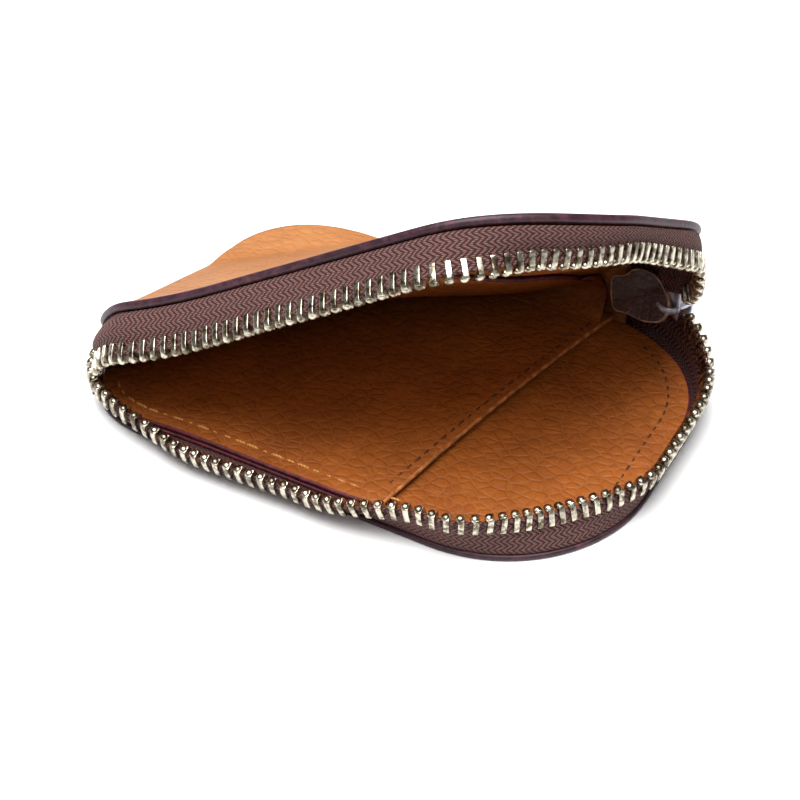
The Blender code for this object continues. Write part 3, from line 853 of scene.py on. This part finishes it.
def make_pockets():
    def lower(flat):
        """The pocket gapes along the middle of its mouth edge."""
        points = reach_out(flat)
        near = smooth(1 - mouth_distance(flat) / GAPE_DEPTH) * crown(flat[:, 1], GAPE_HALF)
        points[:, 2] += waves(points, LEATHER_WAVE, 2.2) * 0.15 * MM + near * POCKET_GAPE
        return points

    def at_mouth(point):
        return mouth_distance(point) < 0.05 * MM

    cuts = lines_from(LOWER_POCKET_FROM) + [mouth_line(0)]
    pocket = plate("lower_pocket", POCKET_INSET, cuts, POCKET_LOW, POCKET_TOP, lower,
                   ("inner", "inner_edge", "inner", "cut"), at_mouth)
    settle_piece(pocket, LOWER, "lining_leather", "pocket_leaf_lower")
    cuts = lines_from(UPPER_POCKET_FROM) + [mouth_line(UPPER_MOUTH_SHIFT)]
    pocket = plate("upper_pocket", POCKET_INSET, cuts, CLOSED_HEIGHT - POCKET_TOP,
                   CLOSED_HEIGHT - POCKET_LOW, tilt, ("inner", "inner_edge", "inner"), rings=40)
    settle_piece(pocket, UPPER, "lining_leather", "pocket_leaf_upper")


def wall_top(point):
    """Height of the wall's top edge, just under the slope of the upper leaf."""
    across = (point[:2] - TILT_POINT) @ ACROSS
    slope = TILT_HEIGHT + (across - CURL_START) * math.tan(TILT_ANGLE) + sag(point)
    return float(np.clip(slope - 0.2 * MM, FLANGE_Z + 0.2 * MM, WALL_TOP_LIMIT))


def wall_line():
    """The wall's course, from behind the zip's left end round the back left corner to the slider."""
    half_w = LEAF_WIDTH / 2
    half_d = LEAF_DEPTH / 2
    radius = BACK_LEFT_RADIUS
    left = np.linspace(-half_d + FRONT_LEFT_RADIUS - 8 * MM, half_d - radius - 1 * MM, 30)
    line = [(-half_w, y) for y in left]
    for a in np.linspace(math.pi, math.pi / 2, 30):
        line.append((-half_w + radius + radius * math.cos(a), half_d - radius + radius * math.sin(a)))
    for x in np.linspace(-half_w + radius + 1 * MM, WALL_END, 60):
        line.append((x, half_d - WALL_TUCK * float(past(x, WALL_TUCK_FROM, 4))))
    return np.array(line)


def make_wall():
    """The leather wall along the left and back sides, bowed out a little between the leaves."""
    line = wall_line()
    foot = LEATHER - 0.1 * MM
    rings = []
    for i, point in enumerate(line):
        ahead = line[min(i + 1, len(line) - 1)] - line[max(i - 1, 0)]
        outward = np.array((-ahead[1], ahead[0])) / np.linalg.norm(ahead)
        height = wall_top(point) - foot
        up_outside = [(share, WALL_INSET) for share in np.linspace(0, 1, 14)]
        down_inside = [(share, WALL_INSET + WALL_THICKNESS) for share in np.linspace(1, 0, 14)]
        ring = []
        for share, inset in up_outside + down_inside:
            bow = WALL_BOW * height * math.sin(math.pi * share)
            ring.append((*(point - outward * (inset - bow)), foot + height * share))
        rings.append(np.array(ring))
    band = tube("back_wall", rings, ("outer",))
    blend_piece(band, (0, 0, LEATHER), (0, 0, FLANGE_Z + 1.6 * MM), "outer_leather", "wall_band")


def make_gusset():
    """The pocket's back, which rises from the lower pocket to the upper one."""
    bulge = np.array((0.5 * MM, 6.0 * MM, 0))
    rings = []
    for x in np.linspace(-18 * MM, 28.5 * MM, 40):
        low = np.array((x, 31.0 * MM, POCKET_TOP))
        top = upper_place(np.array((x - 4 * MM, 32.0 * MM, POCKET_TOP)))
        shares = np.linspace(0, 1, 24)[:, None]
        row = low * (1 - shares) + top * shares + bulge * 4 * shares * (1 - shares)
        behind = row + np.array((0, GUSSET_THICKNESS, 0))
        rings.append(np.concatenate((row, behind[::-1])))
    piece = tube("pocket_gusset", rings, ("inner",))
    blend_piece(piece, (0, 0, POCKET_TOP), (0, 0, 22 * MM), "lining_leather")


# ---------------------------------------- zip


def tape_section():
    """The tape's standing part as (height, side): a flat web with a rolled cord at its top."""
    web = [(h, TAPE / 2) for h in np.linspace(0, TAPE_TOP - 1.0 * MM, 14)]
    cord = []
    for a in np.linspace(-0.35 * math.pi, 1.35 * math.pi, 12):
        cord.append((TAPE_TOP - 0.45 * MM + TAPE_CORD * math.sin(a), TAPE_CORD * math.cos(a)))
    back = [(h, -s) for h, s in web[::-1] if h > TAPE]
    return web + cord + back


def flange_point(distance, reach, rise, upper):
    """A point of the tape's flat flange, at a reach inward of the wall's foot."""
    point, outward = edge_at(distance)
    flat = point - outward * (WALL_INSET + reach) + np.array((0, 0, FLANGE_Z + rise))
    return upper_place(flat) if upper else corner_reach(flat)


def make_tape(name, start, end, upper):
    """A stretch of tape: its standing part and the flange that is sewn flat to the leaf."""
    section = tape_section()
    flange = [(reach, TAPE) for reach in (0.9 * MM, 2.5 * MM, 5.0 * MM)] + [(5.0 * MM, 0), (2.5 * MM, 0)]
    rings, uv = [], []
    for distance in steps_between(start, end, 0.7 * MM):
        ring = [chain_point(distance, h, s, upper) for h, s in section]
        ring += [flange_point(distance, reach, rise, upper) for reach, rise in flange]
        rings.append(np.array(ring))
        uv += [(distance, h if s > 0 else h + 0.5 * MM) for h, s in section]
        uv += [(distance, -reach) for reach, _ in flange]
    return tube(name, rings, ("tape",), uv=uv)


def tooth_shape():
    """One tooth, as points (along, side, up) in millimetres and faces: two legs, a body and a head."""
    bm = bmesh.new()
    width = 1.12
    right = [(0.85, 3.75), (1.1, 3.2), (1.2, 2.5), (1.2, 0.5), (1.12, 0.0), (0.5, 0.0), (0.42, 1.9)]
    left = [(-side, up) for side, up in right]
    outline = left[:5][::-1] + right + left[5:][::-1]
    face = bm.faces.new([bm.verts.new((-width / 2, side, up)) for side, up in outline])
    grown = bmesh.ops.extrude_face_region(bm, geom=[face])
    moved = [v for v in grown["geom"] if isinstance(v, bmesh.types.BMVert)]
    bmesh.ops.translate(bm, vec=(width, 0, 0), verts=moved)
    bmesh.ops.recalc_face_normals(bm, faces=bm.faces)
    bmesh.ops.bevel(bm, geom=bm.edges[:], offset=0.14, segments=2, affect="EDGES", profile=0.6)
    head = bmesh.ops.create_uvsphere(bm, u_segments=16, v_segments=10, radius=1.0)
    for vert in head["verts"]:
        x, y, z = vert.co
        vert.co = Vector((-0.30 + 0.86 * x, 0.92 * y, 3.43 + 0.72 * z))
    bmesh.ops.triangulate(bm, faces=[f for f in bm.faces if len(f.verts) > 4])
    points = np.array([v.co for v in bm.verts])
    bm.verts.index_update()
    faces = [tuple(v.index for v in f.verts) for f in bm.faces]
    bm.free()
    return points, faces


def make_teeth(name, start, end, upper):
    """A row of teeth along a stretch of tape."""
    shape, shape_faces = tooth_shape()
    points, faces = [], []
    for number, distance in enumerate(steps_between(start, end, TOOTH_PITCH)):
        here, along, side, rise = chain_frame(distance, upper)
        points.append(here + shape * MM @ np.array((along, side, rise)))
        faces += [tuple(i + number * len(shape) for i in face) for face in shape_faces]
    return make_object(name, np.concatenate(points), faces, ("metal",))


def make_zip():
    tape = make_tape("lower_tape", TAPE_START, TAPE_END, False)
    settle_piece(tape, LOWER, "zip_tape", "zip_tape_lower")
    teeth = make_teeth("lower_teeth", FIRST_TOOTH, LAST_TOOTH, False)
    settle_piece(teeth, LOWER, "zip_metal", "teeth_lower")
    tape = make_tape("upper_tape", TAPE_START, RAISED_END, True)
    settle_piece(tape, UPPER, "zip_tape", "zip_tape_upper", "zip_tape_upper_corner")
    turn = RAISED_END - (RAISED_END - FIRST_TOOTH) % TOOTH_PITCH
    teeth = make_teeth("upper_teeth", FIRST_TOOTH, turn, True)
    settle_piece(teeth, UPPER, "zip_metal", "teeth_upper", "teeth_upper_corner")
    near = chain_point(TEETH_END, LEG_FOOT, 0, True)
    far = chain_point(RAISED_END, LEG_FOOT, 0, True)
    tape = make_tape("upper_tape_end", RAISED_END, TAPE_END, True)
    blend_piece(tape, near, far, "zip_tape", "zip_tape_upper_end")
    teeth = make_teeth("upper_teeth_end", turn + TOOTH_PITCH, LAST_TOOTH, True)
    blend_piece(teeth, near, far, "zip_metal", "teeth_upper_end")


def make_clamp(name, distance, upper, size, look="metal"):
    """A stop: a small rounded block of metal closed round the tape's cord."""
    length, height, thickness = size
    here, along, side, rise = chain_frame(distance, upper)
    rings = []
    for share, grown in ((-0.5, 0.55), (-0.46, 0.82), (-0.36, 1.0), (0.36, 1.0), (0.46, 0.82), (0.5, 0.55)):
        ring = []
        for a in round_angles(28):
            out = squared(math.cos(a), 0.55) * thickness / 2 * grown
            up = squared(math.sin(a), 0.55) * height / 2 * (0.6 + 0.4 * grown)
            ring.append(here + along * share * length + side * out + rise * (up + 1.2 * MM))
        rings.append(np.array(ring))
    return tube(name, rings, (look,))


def make_stops():
    stop = make_clamp("lower_top_stop", TOP_STOP_AT, False, TOP_STOP_SIZE)
    settle_piece(stop, LOWER, "zip_metal", "top_stop_lower")
    stop = make_clamp("upper_top_stop", TOP_STOP_AT, True, TOP_STOP_SIZE)
    settle_piece(stop, UPPER, "zip_metal", "top_stop_upper")
    stop = make_clamp("end_stop", BOTTOM_STOP_AT, False, BOTTOM_STOP_SIZE, "slider")
    settle_piece(stop, LOWER, "zip_metal", "bottom_stop")


def slider_frame():
    """Middle of the slider, and its directions: along the zip and outward."""
    point, outward = edge_at(SLIDER_AT)
    along = np.array((-outward[1], outward[0], 0))
    return point + outward * SLIDER_OUT + UP * SLIDER_RISE, along, outward


def bar(name, path, across, wide, thick, normal=None):
    """A metal bar of oval section along a path; its thin way is the normal, or else square to the path."""
    rings = []
    for i, point in enumerate(path):
        ahead = path[min(i + 1, len(path) - 1)] - path[max(i - 1, 0)]
        thin = np.cross(ahead / np.linalg.norm(ahead), across) if normal is None else normal
        ring = [point + across * wide * math.cos(a) + thin * thick * math.sin(a) for a in round_angles(14)]
        rings.append(np.array(ring))
    return tube(name, rings, ("slider",))


def slider_plate(name, way):
    """One plate of the slider, rounded and with turned-in guards, on its inner (-1) or outer (1) side."""
    middle, along, outward = slider_frame()
    rings = []
    for depth, grown in ((-0.5, 0.90), (-0.42, 0.965), (-0.2, 1.0), (0.2, 1.0), (0.42, 0.965), (0.5, 0.90)):
        ring = []
        for a in round_angles(56):
            run = squared(math.cos(a), 0.7)
            rise = squared(math.sin(a), 0.6) * (1 - 0.14 * run)
            turned = 1.1 * MM * abs(rise) ** 5
            place = middle + along * run * SLIDER_LENGTH / 2 * grown + UP * rise * SLIDER_HEIGHT / 2 * grown
            ring.append(place + outward * way * (PLATE_OUT + depth * SLIDER_PLATE - turned))
        rings.append(np.array(ring))
    return tube(name, rings, ("slider",))


def make_slider():
    """Two plates joined by a wedge at the nose, and the arch on the inner one that holds the pull tab."""
    middle, along, outward = slider_frame()
    nose = middle - along * (SLIDER_LENGTH / 2 - 1.6 * MM)
    wedge = [nose + outward * reach for reach in np.linspace(-PLATE_OUT, PLATE_OUT, 6)]
    foot = middle - outward * (PLATE_OUT + SLIDER_PLATE * 0.2) - along * BRIDGE_SHIFT
    arch = []
    for share in np.linspace(-1, 1, 21):
        arch.append(foot + along * share * ARCH_HALF - outward * ARCH_RISE * (1 - abs(share) ** 3.2))
    pieces = (
        slider_plate("slider_inner_plate", -1),
        slider_plate("slider_outer_plate", 1),
        bar("slider_nose", wedge, along, 1.5 * MM, 1.1 * MM, UP),
        bar("slider_arch", arch, UP, 0.8 * MM, 0.5 * MM),
    )
    for piece in pieces:
        node = "slider_bridge" if piece.name == "slider_arch" else "slider_body"
        settle_piece(piece, "slider", "zip_metal", node)


def rounded(outline, times=3):
    """A polygon with its corners cut off again and again."""
    for _ in range(times):
        after = np.roll(outline, -1, axis=0)
        outline = np.stack((outline * 0.78 + after * 0.22, outline * 0.22 + after * 0.78), 1).reshape(-1, 2)
    return outline


def tab_outline():
    """The tab's rounded outline in mm, as points spread evenly along it."""
    outline = rounded(np.array(TAB_OUTLINE))
    closed = np.concatenate((outline, outline[:1]))
    at = np.concatenate(([0], np.cumsum(np.linalg.norm(np.diff(closed, axis=0), axis=1))))
    spread = np.linspace(0, at[-1], 160, endpoint=False)
    return np.stack([np.interp(spread, at, closed[:, k]) for k in (0, 1)], 1)


def make_puller():
    """A tab of folded leather that hangs from the bridge, creased across and bent, with pale cut edges."""
    _, along, outward = slider_frame()
    heading = along * math.cos(TAB_SWING) - outward * math.sin(TAB_SWING)
    start = np.array(JOINTS["puller_swing"]["pos_m"]) - heading * TAB_PAST_PIVOT
    level = np.cross(UP, heading)
    up = UP * math.cos(TAB_TILT) - level * math.sin(TAB_TILT)
    facing = level * math.cos(TAB_TILT) + UP * math.sin(TAB_TILT)
    outline = tab_outline()
    centre = outline.mean(0)

    def place(flat, depth):
        off = (flat - CREASE_AT) @ CREASE_NORMAL
        bend = 0.75 * abs(off) ** 1.15 / (1 + 0.16 * abs(off)) - 1.0 + 0.25 * math.sin(flat[0] * 0.8)
        along_tab, rise = flat * MM
        return start + heading * along_tab + up * rise + facing * (depth + bend * TAB_BEND)

    # Each ring of the front and its rounded edge is (share of the outline, height over the middle, look).
    half = TAB_THICKNESS / 2
    front = [(share, half, 0) for share in np.linspace(0.04, 0.93, 16)]
    for turn in np.linspace(0.35, math.pi / 2, 4):
        front.append((1 - 0.05 * (1 - math.sin(turn)), half * math.cos(turn), 1))
    front.append((0.985, half * 0.1, 1))
    rows = front + [(share, -depth, look) for share, depth, look in front[::-1]]
    rings = []
    for share, depth, _ in rows:
        rings.append(np.array([place(centre + (p - centre) * share, depth) for p in outline]))
    row_looks = [max(look, following) for (_, _, look), (_, _, following) in zip(rows, rows[1:])]
    tab = tube("pull_tab", rings, ("pull", "pull_edge"), row_looks)
    settle_piece(tab, "puller", "pull_leather", "puller_tab")


# ---------------------------------------- stitching


def stitch_row(name, line, look, pitch, length, radius, node, unevenness):
    """A row of separate stitches along a line of points, each a capsule that dips at both ends."""
    at = np.concatenate(([0], np.cumsum(np.linalg.norm(np.diff(line, axis=0), axis=1))))
    around, rows = 8, 7
    points, faces = [], []
    for number, centre in enumerate(steps_between(pitch / 2, at[-1] - pitch / 2, pitch)):
        uneven = unevenness * math.sin(number * 2.4 + 1.7 * math.sin(number * 0.9))
        where = centre + np.linspace(-0.5, 0.5, rows) * length * (1 + uneven)
        spine = np.stack([np.interp(where, at, line[:, k]) for k in range(3)], 1)
        heading = spine[-1] - spine[0]
        heading /= np.linalg.norm(heading)
        side = np.cross(UP, heading)
        side /= np.linalg.norm(side)
        up = np.cross(heading, side)
        base = len(points)
        for middle, share in zip(spine, np.linspace(-1, 1, rows)):
            fat = radius * (1 + 0.5 * uneven) * math.sqrt(max(1 - (abs(share) ** 3.2), 0.04))
            dip = -radius * (0.9 * share ** 4 - 0.5 * min(uneven, 0))
            for angle in round_angles(around):
                points.append(middle + side * fat * math.cos(angle) + up * (fat * math.sin(angle) + dip))
        for a in range(base, base + (rows - 1) * around, around):
            for i in range(around):
                j = (i + 1) % around
                faces.append((a + i, a + j, a + around + j, a + around + i))
        faces.append(tuple(base + i for i in range(around))[::-1])
        faces.append(tuple(base + (rows - 1) * around + i for i in range(around)))
    piece = make_object(name, points, faces, (look,))
    settle_piece(piece, LOWER, "pale_thread" if look == "pale" else "dark_thread", node)


def inset_line(distances, inset, z):
    """Points along the leaf's edge, moved in and up."""
    points = []
    for distance in distances:
        point, outward = edge_at(distance)
        points.append(point - outward * inset + UP * z)
    return np.array(points)


def make_stitching():
    """The pale front seam, and the dark seams beside the pocket's mouth and round the right corners."""
    front = inset_line(np.linspace(34 * MM, 106 * MM, 60), POCKET_INSET + 3.2 * MM, POCKET_TOP + 0.02 * MM)
    stitch_row("front_stitches", reach_out(front), "pale", 2.9 * MM, 2.3 * MM, 0.24 * MM,
               "thread_front_seam", 0.45)
    start, end = POCKET_MOUTH
    heading = (end - start) / np.linalg.norm(end - start)
    beside = np.array((-heading[1], heading[0])) * MOUTH_SEAM_INSET
    lifted = POCKET_GAPE * float(smooth(1 - MOUTH_SEAM_INSET / GAPE_DEPTH))
    mouth = []
    for a in np.linspace(6, 72, 60):
        x, y = start + heading * a * MM + beside
        mouth.append((x, y, POCKET_TOP + 0.05 * MM + lifted * crown(y, GAPE_HALF)))
    stitch_row("mouth_stitches", np.array(mouth), "dark", 2.6 * MM, 1.7 * MM, 0.22 * MM,
               "thread_pocket_mouth", 0.15)
    corners_round = np.linspace(140 * MM, 214 * MM, 80)
    seam = inset_line(corners_round, LINING_INSET + 3.4 * MM, LINING_TOP + 0.05 * MM)
    stitch_row("corner_stitches", seam, "dark", 2.6 * MM, 1.7 * MM, 0.22 * MM,
               "thread_lining_corner", 0.15)


# ---------------------------------------- studio


def make_floor():
    half = 6.0
    mesh = bpy.data.meshes.new("floor")
    mesh.from_pydata([(-half, -half, 0), (half, -half, 0), (half, half, 0), (-half, half, 0)], [], [range(4)])
    mesh.materials.append(plain("pale_floor", (0.9, 0.9, 0.9, 1), 0.9))
    floor = bpy.data.objects.new("floor", mesh)
    bpy.context.scene.collection.objects.link(floor)


def area_light(name, place, aim, size, power):
    data = bpy.data.lights.new(name, "AREA")
    data.shape = "RECTANGLE"
    data.size, data.size_y = size
    data.energy = power
    light = bpy.data.objects.new(name, data)
    light.location = place
    light.rotation_euler = (Vector(aim) - Vector(place)).to_track_quat("-Z", "Y").to_euler()
    bpy.context.scene.collection.objects.link(light)


def make_studio():
    """A pale floor and a dim white room, with a soft light overhead and a weak one from the front right."""
    make_floor()
    world = bpy.data.worlds.new("studio")
    world.use_nodes = True
    background = world.node_tree.nodes["Background"]
    background.inputs["Color"].default_value = (1, 1, 1, 1)
    background.inputs["Strength"].default_value = 0.10
    bpy.context.scene.world = world
    area_light("overhead", (-0.02, -0.12, 0.85), (0, 0, 0.02), (0.7, 0.7), 18.0)
    area_light("front_right", (0.45, -0.55, 0.75), (0.01, 0, 0.02), (0.4, 0.3), 1.6)


def make_camera():
    """A long lens looking down at 41 degrees from the front right."""
    azimuth, elevation = math.radians(28.96), math.radians(41.18)
    target = Vector((1.6, -6.3, 1.3)) * MM
    level = math.cos(elevation)
    away = Vector((math.sin(azimuth) * level, -math.cos(azimuth) * level, math.sin(elevation)))
    data = bpy.data.cameras.new("camera")
    data.lens = 85.9
    data.sensor_width = 36.0
    data.clip_start = 0.01
    data.clip_end = 50.0
    camera = bpy.data.objects.new("camera", data)
    camera.location = target + away * 390.2 * MM
    camera.rotation_euler = (-away).to_track_quat("-Z", "Y").to_euler()
    bpy.context.scene.collection.objects.link(camera)
    bpy.context.scene.camera = camera
    bpy.context.scene.view_settings.view_transform = "Standard"


make_outer_leaves()
make_linings()
make_pockets()
make_wall()
make_gusset()
make_zip()
make_stops()
make_slider()
make_puller()
make_stitching()
make_studio()
make_camera()
